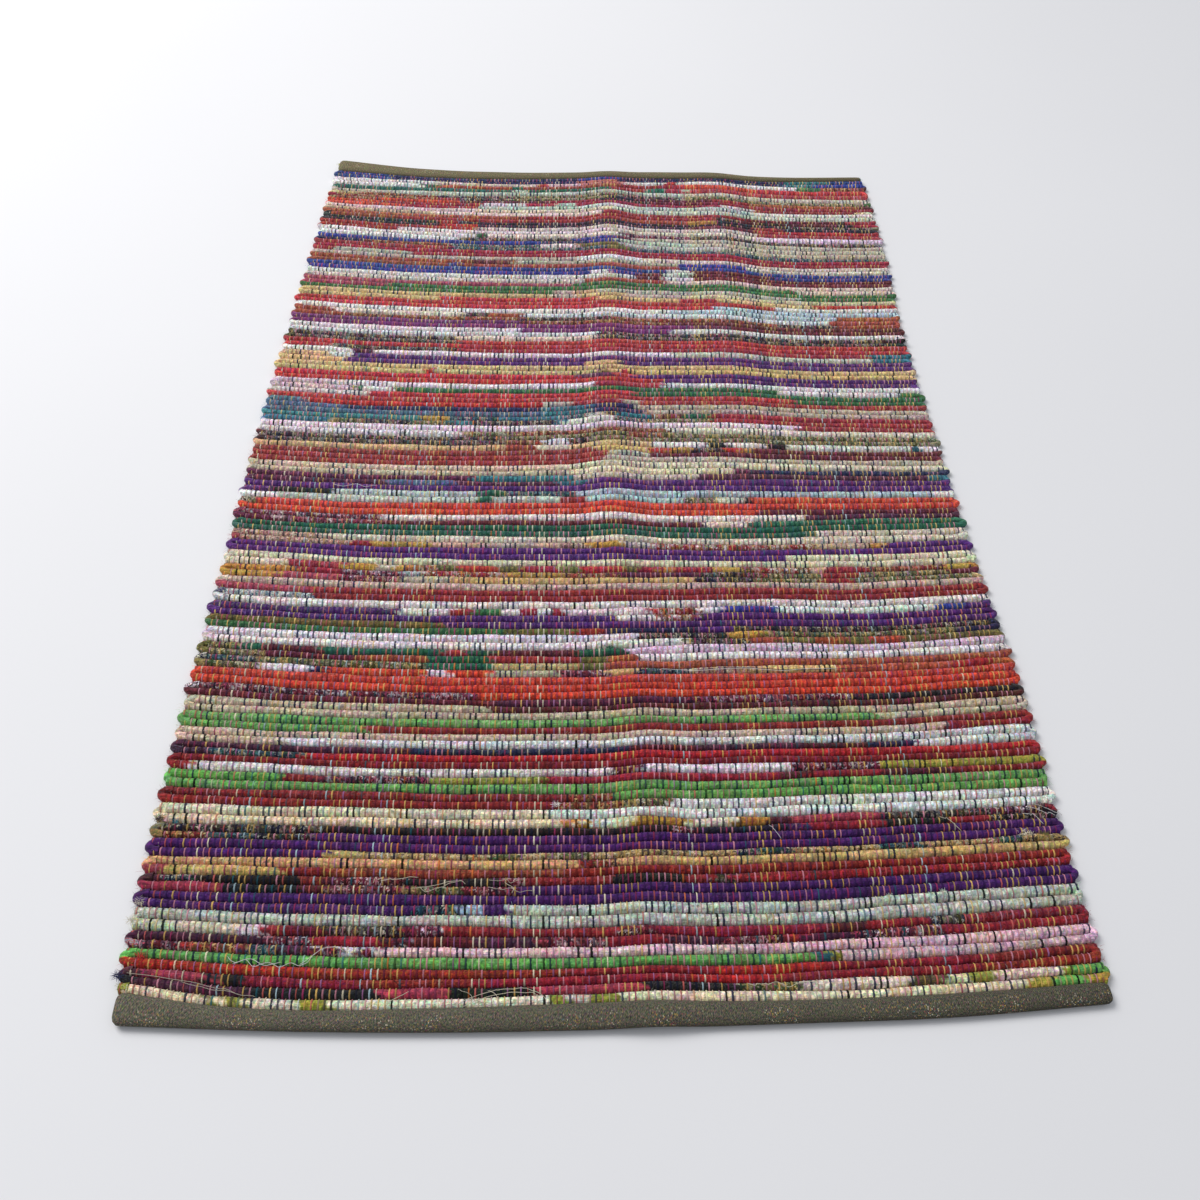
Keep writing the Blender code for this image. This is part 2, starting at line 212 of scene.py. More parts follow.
# The weft from the back hem to the front one, a row a line, as it reads in the weave: each
# rag's cloth and the per cent across where it gives way to the next. A long row goes on in
# a line that starts with spaces.
WEFT = """
blue 11 navy 46 blue 54 navy 85 teal 94 blue
blue 11 navy 46 salmon 54 navy 85 teal 91 blue
white 11 pink 13 white 20 pink 39 red 40 pink 47 salmon 55 white 62 red 65 white 88 grass 92 warm*
white 17 emerald 20 rust 34 emerald 36 rust 54 brick 62 crimson 65 orange 79 red
emerald 34 aqua 36 emerald 52 brick 59 emerald 63 crimson 66 aqua 67 crimson
greige 12 aqua 66 greige
tan 6 warm* 20 dark* 33 olive* 54 dark* 66 olive*
crimson 2 warm* 20 crimson 24 dark* 33 olive* 51 charcoal 57 maroon 71 brick 78 copper 98 maroon
warm* 9 orange 24 maroon 41 crimson 50 charcoal 59 maroon 71 brick
orange 9 crimson 28 lilac 37 crimson 42 aqua 45 crimson 72 lilac 78 brick 98 cream
orange 14 crimson 28 aqua 50 lilac 57 aqua 78 lilac
pink 28 cream 52 aqua
peach 20 cream 50 brick 77 maroon 94 black 95.5 crimson
copper 20 rust 35 maroon 36.5 brick 66 crimson 71 dark* 75 maroon 79 black 84 maroon 93 black 96
  crimson
charcoal 1 rust 14 brick 54 rust 66 ochre 71 charcoal 84 dark*
charcoal 21 brick 24 charcoal 57 navy 59 charcoal 78 crimson 83 charcoal
charcoal 21 red 28 charcoal 66 maroon 78 red
brick 21 red 28 pink 78 crimson
brick 14 lilac 51 cream 78 lilac
white 28 grass 29.5 cream 54 plum* 66 dark*
white 25 dark* 45 blue 53 plum 56 greige
blue 40 navy 47 blue 53 aqua 66 greige
navy 9 warm* 24 teal* 39 white 46 olive 54 aqua 72 greige
crimson 24 teal* 51 olive 55 teal*
crimson
crimson 4 greige 17 crimson
greige 46 white 58 cream
rust 27 maroon 35 greige 64 blue 76 cream
rust 24 blue 26 rust 64 blue
blue 62 white 66 maroon 80 blue
blue 48 white 52 blue 57 maroon 61 aqua 66 maroon
white 57 maroon 61 white 66 maroon
cream 47 rust 58 crimson 61 cream
rose 46 grass 84 cream
rose 14 grass
grass 43 greige 46 tan 50 greige 84 grass
tan 42 greige 47 tan 55 greige 64 beige
tan 24 red 50 tan 64 red 70 tan 87 red
red 80 white
red 70 sky
white 62 sky 90 copper
rust 7 cream 28 dark* 32 rust 38 white 89 rust
rust 8 warm* 38 dark* 53 warm* 80 dark* 90 rust
violet 38 warm* 62 maroon
violet 66 plum 72 maroon
lilac 38 violet 62 white
lilac 50 dark* 98 black
dark* 28 cream 50 dark* 98 black
dark* 28 red
red
red 8 dark* 28 crimson 94 teal
white 11 plum 15 white 62 aqua 94 teal
tan 8 white 11 purple
tan 11 purple 48 tan 54 purple
tan
tan 23.5 red 25 tan 50 plum 51.5 tan 54 red 55 tan
red 47 plum 53 red 56 purple
red 60 purple
pink 12 white 50 crimson 60 lilac
pink 13 grass 14.5 white 19 grass 78 lilac 97 grass
pink 16 red 56 grass
red 80 grass
slate 6 red 42 greige 46 crimson 54 greige 57 crimson
slate 12 navy 42 teal 49 navy 56 greige
slate 42 teal 49 navy 57 greige
teal 24 ochre 27 teal* 35 teal 45 teal* 49 greige 51.5 dark* 53 teal 58 warm* 63 emerald 67
  crimson
teal 10 olive* 16 dark* 22 olive* 28 teal 31 dark* 43 teal 45 white 53 teal* 58 olive* 67 crimson
white 80 crimson
white 30 olive* 36 dark* 38 warm* 60 cream
dark* 36 olive* 54 warm* 60 olive*
dark* 36 warm* 42 white 46 dark* 49 olive*
tan 36 rust 41 cream 46 tan 58 white 66 black 69 white 75 black 78 white 97 teal 98.5 white
brick 50 tan 58 red 60 ochre 64 dark* 69 red 71 ochre 73.5 maroon
brick 51.5 greige 58 maroon
brick 51 greige
beige 45 cream
beige 46 cream 70 plum 74 navy
plum 32 teal 46 greige 64 plum 98 teal
plum 20 slate 30 plum 44 teal 48 purple
purple
purple 5 black 13 aqua 33 emerald 36 teal* 46 sky 98 white
white 5 aqua 33 emerald 35 aqua 45 brick 48 sky 62 olive* 67 aqua 70 black 71.5 orange
olive* 3 orange
orange 72 maroon
plum* 20 white 78.5 plum
maroon 6 rose* 20 maroon 64 pink 71 emerald
emerald
emerald 79 cream
peach* 13 cream
rose 2 peach* 16 brick 19 ochre 27 peach 34 greige 41 peach 45 peach* 48 ochre 53 greige 57
  red* 79 peach 87 ochre 89 purple
purple
purple 75 cream
cream
cream 9 crimson 16 ochre 20 greige 23 ochre 25 red* 29 olive 31.5 red 36 olive 39.5 crimson 44.5
  olive 47 red 52.5 olive 55 crimson 57.5 ochre 59.5 crimson 65 yellow 69 red* 78 peach 80
  crimson 85 warm* 96 yellow 99 ochre
ochre 10 crimson 16 plum* 24 blue* 26 red* 37 ochre 45 warm* 52 plum 62 dark* 70 warm* 73
  olive* 79 crimson 85 olive* 96 maroon
ochre 8 rose 16 rose* 24 greige 30 tan 62 dark* 70 olive* 79 crimson 83 olive*
beige
rose 12 brick
blue* 13 brick
blue* 3 white
purple 24 white 31 crimson 33 grass 37 white 39 crimson 41 white 43 crimson 45 white 56 red* 62
  white 65 blue 72 white 93 blue 97 purple
purple 52 white 57 red* 62 purple
olive 30 purple
grass 38 olive 46 brick 50 navy 62 purple 66 dark*
lilac 54 dark* 66 ochre 70 olive* 95 navy
lilac 48 white 60 dark* 68 rust 72 olive 76 rust 80 olive 84 rust 88 olive
olive* 5 emerald 8 maroon 15 emerald 30 crimson 33 emerald 36 maroon 46 emerald 53 lilac
olive* 8 maroon 20 rust 28 emerald 36 brick 46 olive 50 copper 54 white
teal* 8 olive* 28 emerald 36 tan 46 olive 50 copper
olive* 8 white 14 navy 16 orange 28 white 31 orange 36 greige 44 plum* 50 tan 54 teal* 60
  peach* 68 tan 78 copper 93 red 98 copper
orange
orange
plum* 34 orange
maroon 36 plum 60 plum* 80 charcoal
beige 36 maroon
beige
green 82 beige
green 22 brick
beige 90 brick
beige 13 white
plum 27 navy 52 maroon 60 plum 72 maroon 81 navy 86 white
plum 5 teal* 15 red
brick
crimson 3 lilac 50 plum* 53.5 white 71 plum* 82 lime
green 13 crimson 17 plum* 30 lime 42.5 crimson 70 maroon 73 crimson 82 maroon 90 brick
green
brick 45 warm* 50.5 green
brick 44 warm* 51 olive* 57 white
cream 43 white
cream 45 ochre 46.5 cream 47.2 ochre 48.2 white 49.3 cream 52.5 ochre 58.7 cream 64 ochre 67
  maroon 70 rose 80 dark* 93 plum*
dark* 18 charcoal 57 plum* 59 charcoal 70 purple 72 crimson 80.5 charcoal 88 crimson 93 dark*
warm* 7 teal* 12 dark* 18 purple
purple
purple 19.5 tan 23 tan* 37 olive* 40 tan* 43 olive* 47 tan* 64 teal* 70 tan* 80 teal* 85 tan* 93
  teal* 96 tan*
tan 47 warm* 50.5 tan
rose 2.5 tan 15 brick 19.5 rust 45 brick
plum 3 teal* 6 black 17 brick 19.5 rose* 28 charcoal 38.5 rose* 40.5 brick 50.5 black 58 brick 61
  dark* 63 brick
rose 8.5 black 17 maroon 20 rose* 28.5 olive* 34 rose* 40 purple
purple
purple 29 teal* 34 sky 35.8 purple 39 aqua
aqua
aqua 5 cream 12 lilac 14 crimson 17 maroon 20 dark* 28 plum* 32.5 crimson 51 rose* 54 crimson 73
  maroon 77 crimson 83 dark* 87 crimson
plum 14 plum* 19 crimson 26 plum* 29 maroon 36 plum 42 rose* 49 crimson 56 plum 61 rose* 67
  crimson 70 plum 75 plum* 84.5 crimson
plum* 6 warm* 12 teal* 16 plum 19 plum* 22 lilac 24 plum* 26 pink
green 71 teal 72 lime 73.5 pink
red 20 brick 45 crimson 60 red 72 crimson 90 brick
plum 3 rose 8.5 black 9.6 rose 10 black 12.6 crimson 24 brick 36 crimson 58 red 66 crimson 88
  brick
charcoal 2 plum 13.5 black 26 rose 33.5 black 41.5 rose 53 black 62 olive* 69 cream 80 olive 83.5
  cream 86.5 lime 89 cream 96 lime 98 green
lime 1.5 cream 9 lime 10.5 cream 11.6 lime 13.3 cream 18.4 lime 22 cream 43.5 lime 45.2 cream 47.5
  lime 50.5 cream 92 lime 95 green 98 lime
"""

# Where the beater left rows slack: row, per cent across, reach in rows and in per cent,
# and how far they lie towards the front, in mm
SLACK = ((85, 8, 5, 15, 4.5), (90, 82, 12, 26, 4.5), (100, 12, 4, 18, 4.0))

# How much deeper than its usual depth each hem is, in mm, at places across
HEM_GROWS = {
    "across": (0, 0.03, 0.08, 0.15, 0.3, 0.6, 1),
    "back": (5, 4, 2, 1, 0, -1, -2),
    "front": (5, 3, 0, -1, 0, -0.5, -1.2),
}

# Where a knot or a thick place in a rag swells its row: row, per cent across from and to,
# and how far it stands up, in mm
KNOTS = """
66 45 53 2
67 46 52 1.2
28 24 26 2.5
30 62 66 2.2
31 58 61 2
55 23.5 25.5 3.5
55 50 51.5 3
55 54 55.3 2.6
89 50 53 2.6
90 50 53 1.6
80 33 36 2.6
81 33 35 1.5
105 47 53 1.8
106 47 52 2.2
141 14 18 2
143 22 26 1.8
139 78.5 79.5 3
139 84.5 85.5 3
73 52 56 2
70 42 46 2
80 62 66 2
19 28 29.5 2.5
25 57 58 2.5
109 94 98 2
33 81.5 82.5 3
72 60 64 1.6
135 16 20 2.2
133 94 99 2
94 64 68 1.8
129 60 69 1.6
"""

# Loose threads on the rows: dye and how far they lift off in mm, then the places that they
# run through, each a row and the per cent across, a row's number at its back edge
LOOSE = """
cream 0.5, 136.95 24.1, 136.3 24.3, 136.6 24.6, 136.3 24.9, 136.95 25
cream 0.8, 136.7 24.8, 136.5 26.2, 136.2 27.6, 136.05 28.8
cream 1.0, 137.5 28.3, 137.3 29.8, 136.9 31.4, 136.6 33, 136.9 33.8
cream 1.2, 137.3 29, 137.95 29.6, 137.6 30.6, 137.2 31.5, 136.7 32.8
greige 0.8, 136.4 36.2, 136.6 37.2, 136.4 38.1, 136.8 38.6, 136.5 39.9
greige 1.0, 137.2 36.2, 137.6 37.6, 137.4 38.4, 137.8 39.6, 137.7 41
cream 1.2, 136.2 38.3, 136.8 38, 137.4 38.9, 137.9 38.7
white 0.6, 144.5 10.2, 145.1 11, 144.8 12, 145.3 13, 144.9 14.4, 145.3 15.4, 144.9 16.6,
  145.1 17.6, 144.7 18.3, 143.9 19
white 1.0, 145 17.5, 144.4 18.5, 143.7 19.4, 143.3 20.6, 143.6 21.8
white 0.7, 145.2 10.8, 144.7 12.6, 145.2 14.2, 144.8 15.6
greige 0.8, 146.9 0.5, 147 3, 147.15 6.5, 147.4 9.5, 147.9 11.8, 148.1 13.6
greige 0.8, 147.2 6, 147.6 8.5, 147.7 10, 148 12.6
cream 1.6, 148.8 33.2, 148.1 35, 147.6 37, 147.4 39, 147.7 40.8, 148.6 42.2
cream 1.4, 148.9 34, 148.3 35.8, 147.9 38, 147.9 40.2, 148.2 41.4
greige 1.2, 147.3 33.4, 147.8 34.6, 148.4 35.2, 148.9 36.8
cream 1.0, 147.4 36.4, 148 37.2, 148.7 37.6
cream 1.0, 148.6 26.4, 148.1 27.4, 147.5 28.6
cream 1.0, 147.2 62.5, 147.6 64, 147.2 65.4, 147.8 66.8, 147.3 68.4, 147.7 70.2
white 1.0, 129.4 97, 129.9 98, 130.5 99, 130.9 99.8
white 1.2, 129.1 97.8, 129.7 98.8, 130.4 99.9, 130.9 100.6
white 0.8, 130.2 96, 130.6 97.2, 132 98.2
cream 1.2, 130.1 86.4, 130.8 87.4, 132.3 88.6
white 0.9, 130.2 67, 132.2 68.2
white 0.7, 79.4 12, 79.9 13.6, 79.5 15.2, 79.9 16.8, 79.6 18.2
charcoal 1.8, 119.6 11.4, 120.4 12, 120.9 12.8, 120.4 13.2
black 1.6, 146.2 27, 146.9 27.5, 147.1 28.4
white 1.0, 109.5 56, 109.9 60, 109.6 65, 109.9 71, 109.7 78
navy 0.8, 109.7 60, 109.5 66, 109.9 74, 109.6 83
cream 1.2, 99.4 20, 99.9 21, 100.6 21.6, 100.3 22.8
cream 1.0, 52.8 9, 53.4 10.6, 53.1 12
"""

# Frayed tufts: dye, row, per cent across, how many fibres, their length and spread in mm
TUFTS = """
lime -1.2 0.3 60 8 3
teal -0.6 99.6 50 7 3.5
black 46.6 100.2 60 7 4
charcoal 129.6 0.3 70 7 4.5
teal 129.9 2.2 30 5 4
navy 147.2 -0.3 60 7 4
olive 133.3 98 80 6 8
cream 133.1 96 70 5 9
charcoal 129.6 98.6 70 7 6
greige 141.4 -0.2 40 7 3
greige 139.6 0.2 50 7 4
white 66 48.5 80 5 9
blue 28.4 25 30 5 4
white 30.2 64 50 5 7
emerald 80.6 34.6 50 5 6
emerald 105.8 50 80 6 9
aqua 139.3 79 40 5 3
aqua 139.3 85 40 5 3
red 109.3 96 60 5 7
white 127.6 43.4 24 6 3
red 55.6 24.4 40 4 3
brick 135.6 18 60 4 6
crimson 31.4 59.4 40 4 5
red 145 1.5 50 5 5
"""

# Warp threads: how often each dye comes, and the places in mm of yellow and dark ones
WARP_DYES = {
    "navy": 8, "black": 8, "teal": 5, "warp_pink": 22, "magenta": 12, "salmon": 11,
    "warp_yellow": 11, "amber": 4, "cream": 12, "sky": 4, "mauve": 9,
}
YELLOW_WARPS = (
    90, 135, 165, 170, 203, 226, 232, 239, 245, 350, 450, 457, 464, 470, 540, 590, 596,
    650, 697, 705, 750, 790, 797, 830, 838, 845, 880, 888,
)
DARK_WARPS = (
    24, 41, 60, 77, 101, 118, 142, 154, 183, 210, 251, 263, 281, 298, 327, 333, 339,
    366, 384, 402, 425, 440, 475, 481, 498, 516, 533, 557, 572, 610, 622, 640, 662,
    680, 690, 716, 734, 758, 770, 806, 820, 856, 870, 894,
)

# The dyes of the specks in the hems, each from this share of them up to the next
SPECKS = {"yellow": 0.0, "rose": 0.34, "cream": 0.55, "teal": 0.8, "navy": 0.9}

# Half the floor's side, and the window's place and side
FLOOR_HALF = 6.0
WINDOW = (-3.3, 2.3, 4.4)
WINDOW_SIDE = 3.4

# The camera's place, and its turns in degrees, one after another about its own axes
EYE = (-0.04696, -1.18921, 1.05615)
EYE_TURNS = ((-4.6723, "Z"), (41.9837, "X"), (3.8276, "Z"))


def curve(places, values, at):
    """A smooth curve through a few points (Catmull-Rom), for numbers or arrays."""
    places = np.asarray(places, float)
    values = np.asarray(values, float)
    at = np.clip(at, places[0], places[-1])
    slopes = np.gradient(values, places, axis=0)
    low = np.clip(np.searchsorted(places, at, side="right") - 1, 0, len(places) - 2)
    step = places[low + 1] - places[low]
    t = (at - places[low]) / step
    column = (np.arange(values.shape[1]),) if values.ndim == 2 else ()
    ends = values[(low, *column)], values[(low + 1, *column)]
    leans = slopes[(low, *column)], slopes[(low + 1, *column)]
    first = ends[0] * (1 + 2 * t) * (1 - t) ** 2 + leans[0] * step * t * (1 - t) ** 2
    last = ends[1] * t * t * (3 - 2 * t) + leans[1] * step * t * t * (t - 1)
    return first + last


def along_rug(table, column, along, unit=MM):
    """A column of a table, in mm or another unit, read at distances along in metres."""
    return curve(np.array(table["along"]) * MM, np.array(table[column]) * unit, along)


def hem_growth(end, across):
    """How much deeper than usual the back or front hem is at places across, in metres."""
    return curve(HEM_GROWS["across"], np.array(HEM_GROWS[end]) * MM, across)


def bell(distance, half_width):
    """1 at the middle, falling smoothly to 0 at half_width and beyond."""
    share = np.clip(np.abs(distance) / half_width, 0, 1)
    return (0.5 + 0.5 * np.cos(np.pi * share)) ** RIDGE_SHARPNESS


def lay(across, along):
    """Where the underside of the cloth lies on the floor: x, y and z."""
    across, along = np.broadcast_arrays(np.asarray(across, float), np.asarray(along, float))
    shape = across.shape
    across, along = across.ravel(), along.ravel()
    left = -WIDTH / 2 - along_rug(SELVAGES, "left", along)
    right = WIDTH / 2 + along_rug(SELVAGES, "right", along)
    x = left + (right - left) * across
    slips = np.array([curve(DRIFT_ACROSS, row, across) for row in DRIFT.values()])
    slip = curve(np.array(list(DRIFT)) * MM, slips * MM, along)
    y = LENGTH / 2 - SHIFT_FRONT - along - slip
    ridge_x = left + (right - left) * along_rug(FOLDS, "ridge_across", along, 1)
    swell_x = left + (right - left) * SWELL_ACROSS
    z = along_rug(FOLDS, "ridge_height", along) * bell(x - ridge_x, RIDGE_HALF_WIDTH)
    z = z + along_rug(FOLDS, "swell_height", along) * bell(x - swell_x, SWELL_HALF_WIDTH)
    place = np.stack([x + SHIFT_RIGHT, y, np.maximum(z, 0)], axis=-1)
    return place.reshape(*shape, 3)


def together(*numbers):
    """Numbers or arrays side by side along a new last axis."""
    return np.stack(np.broadcast_arrays(*numbers), axis=-1)


def grid_faces(grids, rows, columns, ring=False):
    """Quads for a number of like grids of points; a ring joins its last column to its first."""
    r = np.arange(rows - 1)[:, None] * columns
    c = np.arange(columns if ring else columns - 1)[None, :]
    after = (c + 1) % columns
    quads = together(r + c, r + columns + c, r + columns + after, r + after).reshape(-1, 4)
    starts = np.arange(grids)[:, None, None] * (rows * columns)
    return (quads[None] + starts).reshape(-1, 4)


def make_piece(name, points, quads, look, material, places=None):
    """A smooth mesh piece with a look at each point, riding on the rug's body.

    A look is a dye and, for a rag, the dye of the flecks in it and how much they show.
    """
    points = points.reshape(-1, 3)
    mesh = bpy.data.meshes.new(name)
    mesh.from_pydata(points, [], quads)
    mesh.validate()
    mesh.shade_smooth()
    look = look.reshape(len(points), -1)
    colours = np.ones((len(points), 4))
    colours[:, :3] = look[:, :3]
    flecks = look[:, 3:] if look.shape[1] > 3 else colours * 0.8
    for layer_name, values in (("dye", colours), ("fleck", flecks)):
        layer = mesh.color_attributes.new(layer_name, "FLOAT_COLOR", "POINT")
        layer.data.foreach_set("color", np.clip(values, 0, 1).ravel())
    if places is not None:
        layer = mesh.attributes.new("thread", "FLOAT_VECTOR", "POINT")
        layer.data.foreach_set("vector", places.ravel())
    mesh.materials.append(material)
    piece = bpy.data.objects.new(name, mesh)
    bpy.context.scene.collection.objects.link(piece)
    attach(piece, "root")
    return piece


def linear(srgb):
    """sRGB from 0 to 255 as linear light from 0 to 1."""
    value = np.asarray(srgb, float) / 255
    return np.where(value <= 0.04045, value / 12.92, ((value + 0.055) / 1.055) ** 2.4)


def washed(colour):
    """A dye as it is after many washes: a little greyer."""
    grey = colour @ np.array([0.2126, 0.7152, 0.0722])
    return colour * (1 - FADE) + grey * FADE


DYE = {name: washed(linear(srgb)) for name, srgb in DYES.items()}


# Every random number is drawn from this one, in the order of the calls
rng = np.random.default_rng(41)


def wander(rows, columns, step):
    """Rows of smooth random numbers from -1 to 1 that change every few columns."""
    knots = rng.uniform(-1, 1, (rows, int(columns / step) + 3))
    at = np.arange(columns) / step + rng.uniform(0, 1, (rows, 1))
    low = at.astype(int)
    t = at - low
    t = t * t * (3 - 2 * t)
    row = np.arange(rows)[:, None]
    return knots[row, low] * (1 - t) + knots[row, low + 1] * t


# Columns of points along a row: one at each warp thread and one at each selvage
ACROSS = np.concatenate([[0.0], (np.arange(WARPS) + 0.5) / WARPS, [1.0]])
COLUMNS = len(ACROSS)
# Lines of points over a row, from its back to its front, and the one along its crest
PROFILE = np.array([-1.0, -0.66, 0.0, 0.66, 1.0])
TOP = 2


def painted_shade_power(pick):
    """The power of the painted shade along the rug at a row: above 1 it darkens the dyes, below 1
    lightens them.
    """
    return along_rug(PAINTED_SHADE_POWERS, "depth", HEM_DEPTH + (pick + 0.5) * PICK, 0.01)


def lines_of(table):
    """The words of each line of a table, without its commas."""
    text = table.strip().replace(",", "").replace("\n ", " ")
    return [line.split() for line in text.split("\n")]


def weft_rows():
    """The weft table as rows of (cloth, its first column, the column after its last)."""
    rows = []
    for words in lines_of(WEFT):
        stops = [int(round(float(word) / 100 * WARPS)) + 1 for word in words[1::2]] + [COLUMNS]
        rows.append(list(zip(words[0::2], [0, *stops], stops)))
    return rows


def rag_look(cloth, columns):
    """One rag's look over a stretch of its row, on each line of the profile."""
    shape = (len(PROFILE), columns)
    if cloth in PRINTS:
        dyes = np.array([DYE[name] for name in PRINTS[cloth]])
        dye = dyes[rng.integers(0, len(dyes), shape)]
        dye = (dyes[0] * 0.3 + dye * 0.7) * 0.72
        fleck = dyes[rng.integers(0, len(dyes), shape)] ** 0.85
        amount = 1.0
    else:
        shade = 1 + 0.2 * wander(*shape, 5) + 0.08 * rng.uniform(-1, 1)
        shade = shade + 0.22 * rng.uniform(-1, 1, shape)
        tint = 1 + 0.13 * np.stack([wander(*shape, 6) for _ in range(3)], axis=-1)
        dye = DYE[cloth] * tint * shade[..., None]
        fleck = dye * rng.uniform(0.5, 1.4, 3) * rng.uniform(0.75, 1.1)
        fleck = fleck + 0.09 * rng.uniform(0, 1, 3)
        amount = rng.uniform(0.35, 0.8)
    return np.concatenate([dye, fleck, np.full((*shape, 1), amount)], axis=-1)


def weft_looks():
    """The look of every point of the weft: picks x profile x columns."""
    looks = np.zeros((PICKS, len(PROFILE), COLUMNS, 7))
    for pick, row in enumerate(weft_rows()):
        for cloth, start, stop in row:
            look = rag_look(cloth, stop - start)
            looks[pick, :, start:stop] = look
            # A rag's end lies ragged over the one before it
            for line in range(len(PROFILE)):
                first = start - int(rng.integers(0, RAGGED))
                if start > RAGGED:
                    looks[pick, line, first:start] = look[line, 0]
    # Painted shade along the rug: the dyes darker towards the front and lighter at the back
    depth = painted_shade_power(np.arange(PICKS))[:, None, None, None]
    looks[..., :6] = np.clip(looks[..., :6], 0, 1) ** depth
    return looks


def weft_surface():
    """The height above the underside and half width of every row at every column."""
    rows = np.arange(PICKS)[:, None]
    warp = np.arange(COLUMNS)[None, :] - 1
    pinched = ((warp + rows) % 2 == 0) & (warp >= 0) & (warp < WARPS)
    swell = wander(PICKS, COLUMNS, 9) * 0.6 + wander(PICKS, COLUMNS, 3) * 0.4
    half = (PICK + np.diff(EDGES, axis=0)) / 2
    crest = VALLEY + (CREST - VALLEY) * (2 * half / PICK) ** 0.6
    crest = crest + 0.0003 * swell + 0.0003 * rng.uniform(-1, 1, (PICKS, COLUMNS))
    for words in lines_of(KNOTS):
        row, first, last, rise = map(float, words)
        share = np.clip((ACROSS * 100 - first) / (last - first), 0, 1)
        inside = (share > 0) & (share < 1)
        crest[int(row)] += rise * MM * np.where(inside, np.sin(np.pi * share) ** 0.7, 0)
    dip = (CREST - PINCHED) * (1 + 0.25 * rng.uniform(-1, 1, (PICKS, COLUMNS)))
    half = half * (1.02 + 0.05 * swell)
    return np.where(pinched, crest - dip, crest), np.where(pinched, half * 0.95, half)


def smoothed(values, reach):
    """Each number taken to the mean of those within reach of it along the last axis."""
    count = 2 * reach + 1
    padded = np.pad(values, ((0, 0), (reach + 1, reach)), mode="edge")
    total = np.cumsum(padded, axis=1)
    return (total[:, count:] - total[:, :-count]) / count


def girth_shifts():
    """How far the thicker and thinner rags push the lines between the rows, in metres."""
    girth = np.ones((PICKS, COLUMNS))
    for pick, row in enumerate(weft_rows()):
        for cloth, start, stop in row:
            girth[pick, start:stop] = GIRTHS.get(cloth, 1.0)
    pushed = np.cumsum(smoothed(girth, 9) - 1, axis=0) * PICK
    pushed = np.vstack([np.zeros(COLUMNS), pushed])
    return pushed - smoothed(pushed.T, 8).T


def row_edges():
    """How far each line between two rows has wandered towards the front, in metres."""
    edges = 0.0010 * wander(PICKS + 1, COLUMNS, 20)
    edges = edges + 0.0004 * wander(PICKS + 1, COLUMNS, 5)
    edges = edges + np.clip(girth_shifts(), -MOST_PUSH, MOST_PUSH)
    order = np.arange(PICKS + 1)[:, None]
    for row, across, rows, reach, shift in SLACK:
        far = ((order - row) / rows) ** 2 + ((ACROSS[None, :] * 100 - across) / reach) ** 2
        edges = edges + shift * MM * np.exp(-far)
    edges[[0, -1]] = 0
    # Where a hem is deeper it pushes the next rows together
    for end, sign, away in (("back", 1, order), ("front", -1, PICKS - order)):
        push = sign * hem_growth(end, ACROSS)
        edges = edges + push * np.clip(1 - away / HEM_PUSHES, 0, 1) ** 1.3
    return edges


EDGES = row_edges()
HEIGHT, HALF = weft_surface()
WEFT_LOOK = weft_looks()
ROW_SHIFT = (EDGES[:-1] + EDGES[1:]) / 2


def row_points(pick, columns, v, height):
    """Points on a row at v from -1 at its back to 1 at its front, at given heights."""
    along = HEM_DEPTH + (pick + 0.5) * PICK + ROW_SHIFT[pick, columns] + v * HALF[pick, columns]
    place = lay(ACROSS[columns], along)
    place[..., 2] += height
    return place


def weft_piece(name, first, last, material):
    """The fat rag rows from one pick up to another, as they puff up between stitches."""
    picks, v, columns = np.ix_(np.arange(first, last), PROFILE, np.arange(COLUMNS))
    round_over = np.sqrt(1 - v**2)
    height = VALLEY + (HEIGHT[picks, columns] - VALLEY) * round_over
    picks, columns, v = np.broadcast_arrays(picks, columns, v)
    points = row_points(picks, columns, v, height)
    thread = together(ACROSS[columns] * WIDTH + 0.37 * picks, v * PICK / 2, picks * 0.1)
    faces = grid_faces(last - first, len(PROFILE), COLUMNS)
    return make_piece(name, points, faces, WEFT_LOOK[first:last], material, thread)


def warp_dyes():
    """A dye for each warp thread, the same all along the rug."""
    names = list(WARP_DYES)
    chances = np.array(list(WARP_DYES.values()), float)
    chosen = rng.choice(len(names), WARPS, p=chances / chances.sum())
    for places, name in ((DARK_WARPS, "navy"), (YELLOW_WARPS, "warp_yellow")):
        for place in places:
            chosen[int(place * MM / WIDTH * WARPS)] = names.index(name)
    return np.array([DYE[name] for name in names])[chosen]


WARP_DYE = warp_dyes()
WARP_LEAN = 0.0003 * wander(WARPS, PICKS, 7) + 0.00018 * rng.uniform(-1, 1, (WARPS, PICKS))


